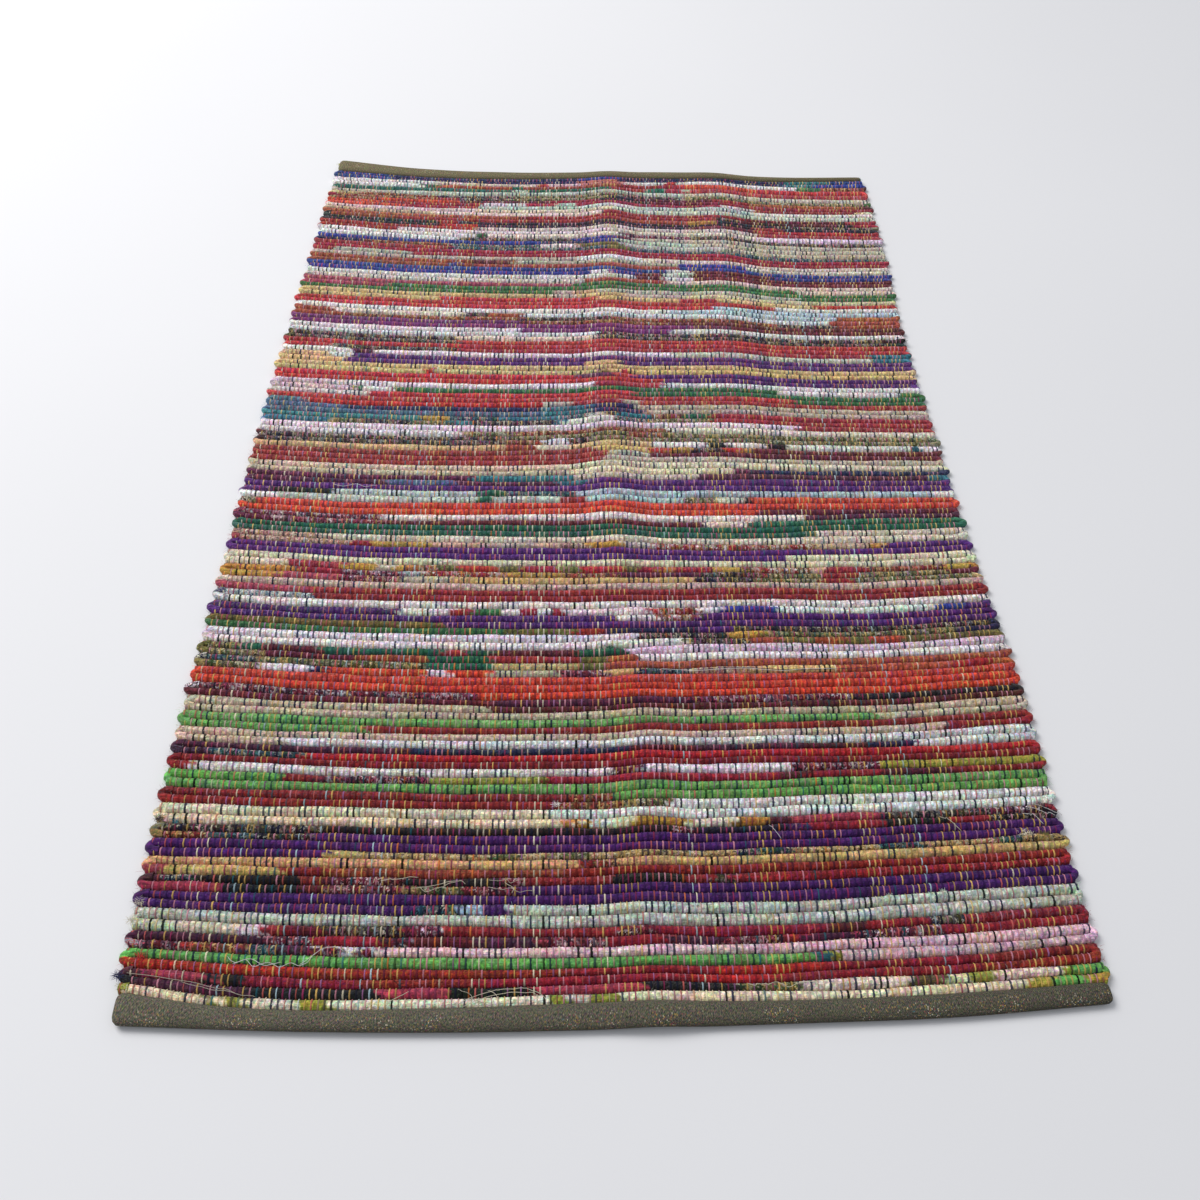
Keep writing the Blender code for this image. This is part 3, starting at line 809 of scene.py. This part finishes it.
def stitch_piece(name, first, last, material):
    """The short warp stitches over the rows, each down into the dips at its row's sides."""
    warps, picks = np.nonzero((np.arange(first, last)[:, None] + np.arange(PICKS)) % 2 == 0)
    warps = warps + first
    columns = warps + 1
    v = np.array([-1.10, -0.50, 0.50, 1.10])
    rise = np.array([0.22, 0.97, 0.97, 0.22])
    height = HEIGHT[picks, columns][:, None]
    level = VALLEY + (height - VALLEY) * rise[None, :]
    middle = row_points(picks[:, None], columns[:, None], v[None, :], level)
    middle[..., 0] += WARP_LEAN[warps, picks][:, None]
    pale = np.clip(5 * WARP_DYE[warps].mean(axis=1, keepdims=True), 0, 1)
    width = STITCH_WIDTH * (1.3 - 0.45 * pale) * rng.uniform(0.8, 1.2, (len(warps), 1))
    side = np.array([-0.5, 0.0, 0.5]) * width
    points = np.repeat(middle[:, :, None, :], 3, axis=2)
    points[..., 0] += side[:, None, :]
    points[..., 2] += np.array([STITCH_EDGE, STITCH_RISE, STITCH_EDGE])
    shade = rng.uniform(0.55, 1.15, (len(warps), 1))
    # The same painted shade along the rug as on the rags
    dye = WARP_DYE[warps] ** painted_shade_power(picks)[:, None] * shade
    # The pale threads are fuzzy and thin, so that the rag shows through them, and the dark
    # ones sink into deep rags
    rag = WEFT_LOOK[picks, TOP, columns, :3]
    deep = np.clip(1.5 - 5 * (rag @ np.array([[0.21], [0.72], [0.07]])), 0, 1)
    through = pale * rng.uniform(0.1, 0.6, (len(warps), 1)) * (1 - 0.6 * deep)
    through += 0.75 * (1 - pale) * deep
    dye = dye * (1 - through) + rag * through
    dye = np.repeat(dye[:, None, :], len(v), axis=1)
    # Painted shade at each stitch's ends, where it dives into the dips between rows
    dye[:, [0, -1]] *= 0.65
    dye = np.repeat(dye[:, :, None, :], 3, axis=2)
    faces = grid_faces(len(warps), len(v), 3)
    return make_piece(name, points, faces, dye, material)


def turn_reach(turn, side):
    """How far one turn of the weft stands out at a selvage."""
    return TURN_REACH * (1 + TURN_UNEVEN * math.sin(TURN_WAVE * turn + side))


def selvage_piece(name, side, material):
    """The rag's turns at one selvage, each from one row round into the next."""
    outwards, edge = (1, COLUMNS - 1) if side else (-1, 0)
    inner = edge - outwards
    sweep = np.linspace(0, np.pi, 11)
    ring = np.linspace(0, 2 * np.pi, 11)[:-1]
    lean = np.stack([outwards * np.sin(sweep), np.cos(sweep)], axis=-1)
    past_middle = (sweep > sweep[len(sweep) // 2])[:, None, None]
    points, looks = [], []
    turns = [(pick, pick + 1) for pick in range(side, PICKS - 1, 2)]
    turns.append((0, 0) if side else (PICKS - 1, PICKS - 1))
    for turn, (pick, last) in enumerate(turns):
        reach = turn_reach(turn, side) + TURN_EXTRA + TURN_JITTER * rng.uniform(-1, 1)
        radius = TURN_RADIUS * (1 + 0.12 * rng.uniform(-1, 1))
        if last == pick:
            reach = END_REACH
        shift = (EDGES[pick, edge] + EDGES[last + 1, edge]) / 2
        middle = HEM_DEPTH + (pick + last + 1) / 2 * PICK + shift
        apart = max((last - pick) * PICK / 2, 0.001)
        centre = lay(np.full(len(sweep), float(side)), middle - np.cos(sweep) * apart)
        centre[:, 0] += outwards * (np.sin(sweep) * (reach - radius + TURN_INSET) - TURN_INSET)
        centre[:, 2] += TURN_HEIGHT
        loop = np.zeros((len(sweep), len(ring), 3))
        bulge = radius * (1 + 0.07 * rng.uniform(-1, 1, (len(sweep), 1)))
        loop[..., :2] = centre[:, None, :2] + lean[:, None, :] * (bulge * np.cos(ring))[..., None]
        loop[..., 2] = centre[:, None, 2] + bulge * 0.93 * np.sin(ring)
        points.append(loop)
        back, front = WEFT_LOOK[pick, TOP, inner], WEFT_LOOK[last, TOP, inner]
        look = np.repeat(np.where(past_middle, front, back), len(ring), axis=1)
        look[..., :3] *= 1 + 0.1 * rng.uniform(-1, 1, (len(sweep), len(ring), 1))
        looks.append(look)
    points = np.array(points)
    points[..., 2] = np.maximum(points[..., 2], FLOOR_GAP)
    faces = grid_faces(len(points), len(sweep), len(ring), ring=True)
    if side:
        faces = faces[:, ::-1]
    thread = together(points[..., 1] * 1.5, points[..., 2], points[..., 0])
    return make_piece(name, points, faces, np.array(looks), material, thread)


def squared_off(values):
    """Cosines or sines of a round, pushed out a little beyond a circle's."""
    return np.sign(values) * np.abs(values) ** HEM_FULLNESS


def hem_piece(name, end, material):
    """A plump rolled hem at the back or front end."""
    across = np.linspace(0.01, 0.99, 220)
    across = np.concatenate([[0.0, 0.0015, 0.005], across, [0.995, 0.9985, 1.0]])
    angle = np.radians(np.linspace(*HEM_SWEEP, 17))
    x_edge = np.minimum(across, 1 - across) * WIDTH
    full = np.clip(1 - (1 - np.clip(x_edge / HEM_ROUNDING, 0, 1)) ** 2, 0.02, 1) ** 0.5
    swell = 1 + 0.05 * wander(1, len(across), 12)[0]
    depth = HEM_DEPTH * 1.06 + hem_growth(end, across)
    high = np.interp(across, HEM_HEIGHTS["across"], HEM_HEIGHTS[end])
    out, up = squared_off(np.cos(angle)), squared_off(np.sin(angle))
    along = depth / 2 - out[:, None] * depth / 2 * (0.45 + 0.55 * full[None, :])
    z = high / 2 + up[:, None] * (high / 2 * full * swell)[None, :]
    if end == "front":
        along = LENGTH - along
    points = lay(np.broadcast_to(across, along.shape), along)
    points[..., 2] += np.maximum(z, FLOOR_GAP)
    arc = np.cumsum(np.full(len(angle), HEM_STEP))
    apart = 0.3 if end == "front" else 0.0
    thread = together(across[None, :] * WIDTH, arc[:, None], apart)
    shade = 1 + 0.07 * wander(len(angle), len(across), 6)
    # Painted shade round each hem's roll: darker towards the floor, lighter over its top
    painted_shade = np.interp(np.degrees(angle), HEM_PAINTED_SHADE["degrees"], HEM_PAINTED_SHADE["shade"])
    light = np.interp(across, HEM_SHADES["across"], HEM_SHADES[end])
    dye = linear(HEM_TONES[end]) * (shade * painted_shade[:, None] * light[None, :])[..., None]
    faces = grid_faces(1, len(angle), len(across))
    if end == "front":
        faces = faces[:, ::-1]
    return make_piece(name, points, faces, dye, material, thread)


def back_piece(name, material):
    """The underside, one sheet of cloth from hem to hem, ribbed by its rows."""
    columns = np.linspace(0, COLUMNS - 1, 62).round().astype(int)
    quarters = np.arange(4 * PICKS + 1)
    across, along = ACROSS[columns][None, :], (HEM_DEPTH + quarters * PICK / 4)[:, None]
    points = lay(across, along)
    points[..., 2] += np.array([0.0030, 0.0010, 0.0004, 0.0010])[quarters % 4][:, None]
    pick = np.minimum(quarters // 4, PICKS - 1)
    look = WEFT_LOOK[pick][:, TOP, columns]
    faces = grid_faces(1, len(quarters), len(columns))[:, ::-1]
    thread = together(across * WIDTH, along, 0.7)
    return make_piece(name, points, faces, look, material, thread)


def under_stitch_piece(name, material):
    """The warp stitches on the underside, over every other row there."""
    warps, picks = np.nonzero((np.arange(WARPS)[:, None] + np.arange(PICKS)) % 2 == 1)
    along = HEM_DEPTH + (picks[:, None] + np.array([0.0, 0.5, 1.0])) * PICK
    middle = lay(ACROSS[warps + 1][:, None], along)
    middle[..., 2] += np.array([0.0024, 0.0001, 0.0024])
    points = np.repeat(middle[:, :, None, :], 2, axis=2)
    points[..., 0] += np.array([-0.5, 0.5]) * STITCH_WIDTH
    dye = np.broadcast_to(WARP_DYE[warps][:, None, None, :], points.shape)
    faces = grid_faces(len(warps), 3, 2)[:, ::-1]
    return make_piece(name, points, faces, dye, material)


def surface(row, across, height):
    """Places on top of the weave at rows counted from the back hem and shares across."""
    edge = np.clip(np.round(row), 0, PICKS).astype(int)
    column = np.clip(np.round(across * WARPS + 0.5), 0, COLUMNS - 1).astype(int)
    place = lay(across, HEM_DEPTH + np.asarray(row) * PICK + EDGES[edge, column])
    place[..., 2] += height
    return place


def loose_piece(name, material):
    """Loose threads that lie over the rows in low curls."""
    ring = np.linspace(0, 2 * np.pi, 6)[:-1]
    points, quads, dyes = [], [], []
    count = 0
    for dye, lift, *places in lines_of(LOOSE):
        row, across = np.array(places, float).reshape(-1, 2).T
        at = np.arange(len(row))
        t = np.linspace(0, len(row) - 1, 9 * (len(row) - 1) + 1)
        rows = curve(at, row, t) + np.sin(t * 5.0) * 0.04
        shares = curve(at, across, t) / 100
        hump = np.abs(np.sin(np.pi * t))
        line = surface(rows, shares, LOOSE_HEIGHT + float(lift) * MM * (0.3 + hump))
        ahead = np.gradient(line, axis=0)
        ahead /= np.linalg.norm(ahead, axis=1)[:, None]
        side = np.cross(ahead, (0, 0, 1))
        side /= np.maximum(np.linalg.norm(side, axis=1), 1e-6)[:, None]
        up = np.cross(side, ahead)
        taper = LOOSE_RADIUS * np.sqrt(np.clip(np.minimum(t, t[-1] - t) * 8, 0.15, 1))
        around = side[:, None] * np.cos(ring)[:, None] + up[:, None] * np.sin(ring)[:, None]
        points.append((line[:, None] + around * taper[:, None, None]).reshape(-1, 3))
        quads.append(grid_faces(1, len(t), len(ring), ring=True) + count)
        dyes.append(np.broadcast_to(DYE[dye] * 0.8, (len(t) * len(ring), 3)))
        count += len(t) * len(ring)
    points, quads, dyes = (np.concatenate(made) for made in (points, quads, dyes))
    return make_piece(name, points, quads, dyes, material)


def wisps(roots, heading, length, lift, dye, width=FIBRE_WIDTH):
    """Fine fibres as thin tapered ribbons that curl up and over from their roots."""
    n = len(roots)
    t = np.array([0, 0.35, 0.7, 1.0])
    bend = rng.uniform(-1.2, 1.2, n)
    angle = heading[:, None] + bend[:, None] * t[None, :]
    steps = np.stack([np.cos(angle), np.sin(angle)], axis=-1) * (length[:, None] / 3)[..., None]
    line = np.zeros((n, 4, 3))
    line[:, 1:, :2] = np.cumsum(steps[:, :3], axis=1)
    line[..., 2] = lift[:, None] * np.sin(np.pi * t * 0.72)[None, :]
    line += roots[:, None, :]
    side = np.stack([-np.sin(angle), np.cos(angle), np.zeros_like(angle)], axis=-1)
    wide = (width * np.array([1, 1, 0.8, 0.15]))[None, :, None, None]
    halves = np.array([-0.5, 0.5])[None, None, :, None]
    points = line[:, :, None, :] + side[:, :, None, :] * halves * wide
    shade = rng.uniform(0.85, 1.3, (n, 1, 1, 1))
    return points, np.broadcast_to(dye[:, None, None, :] * shade, points.shape)


def fuzz_piece(name, material):
    """Stray fibres all over the rag rows, along the selvages and in the frayed tufts."""
    n = FUZZ
    picks = rng.integers(0, PICKS, n)
    columns = rng.integers(2, COLUMNS - 2, n)
    v = rng.uniform(-0.8, 0.8, n)
    level = VALLEY + (HEIGHT[picks, columns] - VALLEY) * np.sqrt(1 - v * v)
    roots = row_points(picks, columns, v, level - 0.0002)
    dye = WEFT_LOOK[picks, TOP, columns, :3] * 1.25 + 0.02
    sets = [wisps(roots, rng.uniform(0, 2 * np.pi, n), rng.uniform(0.002, 0.006, n),
                  rng.uniform(0.0005, 0.0022, n), dye)]
    n = SELVAGE_FUZZ
    for side, outwards, column in ((0, -1, 1), (1, 1, COLUMNS - 2)):
        rows = rng.uniform(0, PICKS, n)
        out = 0.003 + rng.uniform(-0.004, 0.001, n)
        roots = surface(rows, np.full(n, float(side)), rng.uniform(0.001, 0.0075, n))
        roots[:, 0] += outwards * out
        heading = (0 if side else np.pi) + rng.uniform(-1.1, 1.1, n)
        dye = WEFT_LOOK[rows.astype(int), TOP, column, :3] * 1.15 + 0.02
        sets.append(wisps(roots, heading, rng.uniform(0.002, 0.0065, n),
                          rng.uniform(-0.001, 0.001, n), dye))
    for dye, *words in lines_of(TUFTS):
        row, across, count, length, spread = map(float, words)
        count = int(count)
        middle = surface(np.array([row]), np.array([across / 100]), TUFT_HEIGHT)[0]
        spreads = (spread * MM, spread * MM * 0.6, 0.0012)
        roots = middle + rng.normal(0, 0.4, (count, 3)) * spreads
        heading = rng.uniform(0, 2 * np.pi, count)
        sets.append(wisps(roots, heading, rng.uniform(0.5, 1, count) * length * MM,
                          rng.uniform(0.0003, 0.0025, count),
                          np.broadcast_to(DYE[dye], (count, 3)), TUFT_FIBRE_WIDTH))
    points, dyes = (np.concatenate(made) for made in zip(*sets))
    points[..., 2] = np.maximum(points[..., 2], 0.0003)
    faces = grid_faces(len(points), 4, 2)
    return make_piece(name, points, faces, dyes, material)


def new_material(name):
    """A matt cloth, with its nodes and its shader."""
    material = bpy.data.materials.new(name)
    material.use_nodes = True
    shader = material.node_tree.nodes["Principled BSDF"]
    shader.inputs["Roughness"].default_value = 0.92
    shader.inputs["Specular IOR Level"].default_value = 0.22
    return material, material.node_tree, shader


def put(tree, value, socket):
    """A number, or what another node gives, into a socket."""
    if isinstance(value, bpy.types.NodeSocket):
        tree.links.new(value, socket)
    else:
        socket.default_value = value


def node(tree, kind, settings=None, **inputs):
    made = tree.nodes.new(kind)
    for key, value in (settings or {}).items():
        setattr(made, key, value)
    for key, value in inputs.items():
        put(tree, value, made.inputs[key.replace("_", " ")])
    return made


def maths(tree, operation, *values, kind="ShaderNodeMath"):
    made = node(tree, kind, {"operation": operation})
    for socket, value in zip(made.inputs, values):
        put(tree, value, socket)
    return made.outputs[0]


def product(tree, first, *others):
    """Numbers that vary over the surface, multiplied."""
    for other in others:
        first = maths(tree, "MULTIPLY", first, other)
    return first


def colour_maths(tree, operation, *colours):
    return maths(tree, operation, *colours, kind="ShaderNodeVectorMath")


def scaled_colour(tree, colour, factor):
    """A colour times a number that varies over the surface."""
    made = node(tree, "ShaderNodeVectorMath", {"operation": "SCALE"}, Scale=factor)
    put(tree, colour, made.inputs[0])
    return made.outputs[0]


def between(tree, value, low, high, start=0.0, stop=1.0):
    """A number from start to stop taken to one from low to high."""
    return node(
        tree, "ShaderNodeMapRange", Value=value, From_Min=start, From_Max=stop, To_Min=low,
        To_Max=high,
    ).outputs[0]


def attribute(tree, name):
    return node(tree, "ShaderNodeAttribute", {"attribute_name": name}).outputs


def turned(tree, place, degrees=0.0, scale=(1, 1, 1)):
    """Places turned and stretched, to slant and draw out the pattern on them."""
    turn = (0, 0, math.radians(degrees))
    return node(tree, "ShaderNodeMapping", Vector=place, Rotation=turn, Scale=scale).outputs[0]


def noise(tree, place, scale=1.0, detail=2.0, roughness=0.5):
    return node(
        tree, "ShaderNodeTexNoise", Vector=place, Scale=scale, Detail=detail, Roughness=roughness,
    ).outputs


def wave(tree, place, direction="X", **inputs):
    settings = {"bands_direction": direction}
    return node(tree, "ShaderNodeTexWave", settings, Vector=place, **inputs).outputs["Fac"]


def mixed(tree, factor, first, second):
    made = node(tree, "ShaderNodeMix", {"data_type": "RGBA"}, Factor=factor, A=first, B=second)
    return made.outputs["Result"]


def rough_up(tree, shader, height, strength, distance):
    """Bumps of a height that varies over the surface."""
    bump = node(tree, "ShaderNodeBump", Height=height, Strength=strength, Distance=distance)
    put(tree, bump.outputs[0], shader.inputs["Normal"])


def rag_material():
    """Twisted cotton rag: slanting creases, flecks of print, mottled dye and fine fibre, with
    painted shade where the creases and folds lie low.
    """
    material, tree, shader = new_material("rag_weft")
    dye, fleck = attribute(tree, "dye")["Color"], attribute(tree, "fleck")
    thread = attribute(tree, "thread")["Vector"]
    slant = turned(tree, thread, -38)
    mottle = noise(tree, thread, 300.0, 4.0, 0.65)
    folds = noise(tree, turned(tree, thread, -6, (110, 900, 300)), 1.0, 3.0, 0.6)["Fac"]
    creases = wave(tree, slant, Scale=46.0, Distortion=6.0, Detail=2.0, Detail_Scale=2.2)
    patches = noise(tree, turned(tree, slant, scale=(620, 330, 500)))["Fac"]
    fibre = noise(tree, turned(tree, slant, scale=(1700, 600, 800)))
    amount = product(tree, between(tree, patches, 0.0, 1.0, 0.49, 0.55), fleck["Alpha"])
    cloth = mixed(tree, amount, dye, fleck["Color"])
    # The dye's hue varies a little, in mottles and from fibre to fibre
    hues = colour_maths(tree, "ADD", fibre["Color"], (-0.05, -0.05, -0.05))
    hues = colour_maths(tree, "MULTIPLY_ADD", mottle["Color"], (1.1, 1.1, 1.1), hues)
    # The tone is random mottling and painted shade: darker where the creases and folds, the same
    # patterns as the bumps, lie low
    tone = product(
        tree,
        between(tree, mottle["Fac"], 0.05, 1.95),
        between(tree, creases, 0.82, 1.14),
        between(tree, folds, 0.25, 1.75),
    )
    cloth = scaled_colour(tree, colour_maths(tree, "MULTIPLY", cloth, hues), tone)
    put(tree, cloth, shader.inputs["Base Color"])
    height = maths(tree, "ADD", product(tree, creases, 0.55), product(tree, folds, 1.1))
    height = maths(tree, "ADD", height, product(tree, fibre["Fac"], 0.30))
    rough_up(tree, shader, height, 0.9, 0.0012)
    shader.inputs["Sheen Weight"].default_value = 0.12
    shader.inputs["Sheen Roughness"].default_value = 0.5
    return material


def yarn_material():
    """Warp yarn, a thin twisted cotton thread."""
    material, tree, shader = new_material("warp_yarn")
    dye = attribute(tree, "dye")["Color"]
    place = node(tree, "ShaderNodeTexCoord").outputs["Object"]
    twist = wave(tree, place, "DIAGONAL", Scale=420.0, Distortion=2.0, Detail=1.0)
    tone = product(
        tree,
        between(tree, twist, 0.80, 1.12),
        between(tree, noise(tree, place, 700.0)["Fac"], 0.75, 1.25),
    )
    put(tree, scaled_colour(tree, dye, tone), shader.inputs["Base Color"])
    rough_up(tree, shader, twist, 0.6, 0.0003)
    return material


def speck_hues(tree, chance):
    """One of the warp's colours for each speck."""
    hues = node(tree, "ShaderNodeValToRGB", Fac=chance)
    hues.color_ramp.interpolation = "CONSTANT"
    while len(hues.color_ramp.elements) < len(SPECKS):
        hues.color_ramp.elements.new(0.5)
    for element, (name, place) in zip(hues.color_ramp.elements, SPECKS.items()):
        element.position = place
        element.color = (*DYE[name], 1)
    return hues.outputs["Color"]


def hem_material():
    """The hem's fine twill, with specks of the coloured warp in it."""
    material, tree, shader = new_material("hem_twill")
    dye, thread = attribute(tree, "dye")["Color"], attribute(tree, "thread")["Vector"]
    twill = wave(
        tree, turned(tree, thread, 55), Scale=260.0, Distortion=2.2, Detail=1.0, Detail_Scale=3.0,
    )
    grain = noise(tree, thread, 780.0)
    tone = product(
        tree,
        between(tree, twill, 0.75, 1.15),
        between(tree, grain["Fac"], -0.5, 2.5),
    )
    hues = colour_maths(tree, "MULTIPLY_ADD", grain["Color"], (1.6, 1.6, 1.6), (0.2, 0.2, 0.2))
    cloth = scaled_colour(tree, colour_maths(tree, "MULTIPLY", dye, hues), tone)
    # Specks come in crowds, most of them in a band along the hem
    specks = node(tree, "ShaderNodeTexVoronoi", Vector=thread, Scale=860.0).outputs
    chance = node(tree, "ShaderNodeSeparateColor", Color=specks["Color"]).outputs
    crowds = noise(tree, thread, 34.0, 1.0)["Fac"]
    round_hem = node(tree, "ShaderNodeSeparateXYZ", Vector=thread).outputs[1]
    off_band = maths(tree, "ABSOLUTE", maths(tree, "SUBTRACT", round_hem, 0.0125))
    lit = product(
        tree,
        maths(tree, "GREATER_THAN", chance[0], 0.62),
        maths(tree, "LESS_THAN", specks["Distance"], 0.45),
        between(tree, crowds, 0.1, 1.0, 0.42, 0.60),
        between(tree, off_band, 1.0, 0.18, 0.0035, 0.008),
        0.62,
    )
    cloth = mixed(tree, lit, cloth, speck_hues(tree, chance[1]))
    put(tree, cloth, shader.inputs["Base Color"])
    rough_up(tree, shader, tone, 0.8, 0.0005)
    return material


def floor_material():
    """Plain pale paint, a little uneven."""
    material, tree, shader = new_material("floor_paint")
    place = node(tree, "ShaderNodeTexCoord").outputs["Object"]
    pale = node(tree, "ShaderNodeCombineColor", Red=0.765, Green=0.765, Blue=0.79).outputs[0]
    tone = between(tree, noise(tree, place, 1.2)["Fac"], 0.98, 1.02)
    put(tree, scaled_colour(tree, pale, tone), shader.inputs["Base Color"])
    shader.inputs["Roughness"].default_value = 0.7
    return material


rag, yarn, twill = rag_material(), yarn_material(), hem_material()
back = back_piece("rug_back", rag)
others = [
    weft_piece("weft_back", 0, 50, rag),
    weft_piece("weft_middle", 50, 99, rag),
    weft_piece("weft_front", 99, PICKS, rag),
    stitch_piece("stitches_left", 0, WARPS // 2, yarn),
    stitch_piece("stitches_right", WARPS // 2, WARPS, yarn),
    under_stitch_piece("stitches_under", yarn),
    selvage_piece("selvage_left", 0, rag),
    selvage_piece("selvage_right", 1, rag),
    hem_piece("hem_back", "back", twill),
    hem_piece("hem_front", "front", twill),
    loose_piece("loose_threads", yarn),
    fuzz_piece("fuzz", yarn),
]
for piece in [back, *others]:
    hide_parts("rag_rug")


def make_stage():
    """The plain pale floor, the soft light and the camera."""
    scene = bpy.context.scene
    mesh = bpy.data.meshes.new("floor")
    corners = [(-1, -1), (1, -1), (1, 1), (-1, 1)]
    corners = [(x * FLOOR_HALF, y * FLOOR_HALF, 0) for x, y in corners]
    mesh.from_pydata(corners, [], [(0, 1, 2, 3)])
    mesh.materials.append(floor_material())
    floor = bpy.data.objects.new("floor", mesh)
    floor.location.z = -0.0003
    scene.collection.objects.link(floor)

    world = bpy.data.worlds.new("studio")
    world.use_nodes = True
    background = world.node_tree.nodes["Background"]
    background.inputs["Color"].default_value = (0.93, 0.96, 1.0, 1)
    background.inputs["Strength"].default_value = 0.50
    scene.world = world

    light = bpy.data.lights.new("window", "AREA")
    light.shape = "RECTANGLE"
    light.size = light.size_y = WINDOW_SIDE
    light.energy = 306
    light.color = (1.0, 0.985, 0.96)
    lamp = bpy.data.objects.new("window", light)
    lamp.location = WINDOW
    lamp.rotation_euler = (-lamp.location).to_track_quat("-Z", "Y").to_euler()
    scene.collection.objects.link(lamp)

    camera = bpy.data.cameras.new("camera")
    camera.lens = camera.sensor_width = 36
    camera.shift_x = -0.03
    eye = bpy.data.objects.new("camera", camera)
    turn = Matrix.Identity(4)
    for degrees, axis in EYE_TURNS:
        turn = turn @ Matrix.Rotation(math.radians(degrees), 4, axis)
    eye.matrix_world = Matrix.Translation(EYE) @ turn
    scene.collection.objects.link(eye)
    scene.camera = eye
    scene.view_settings.view_transform = "Standard"


make_stage()
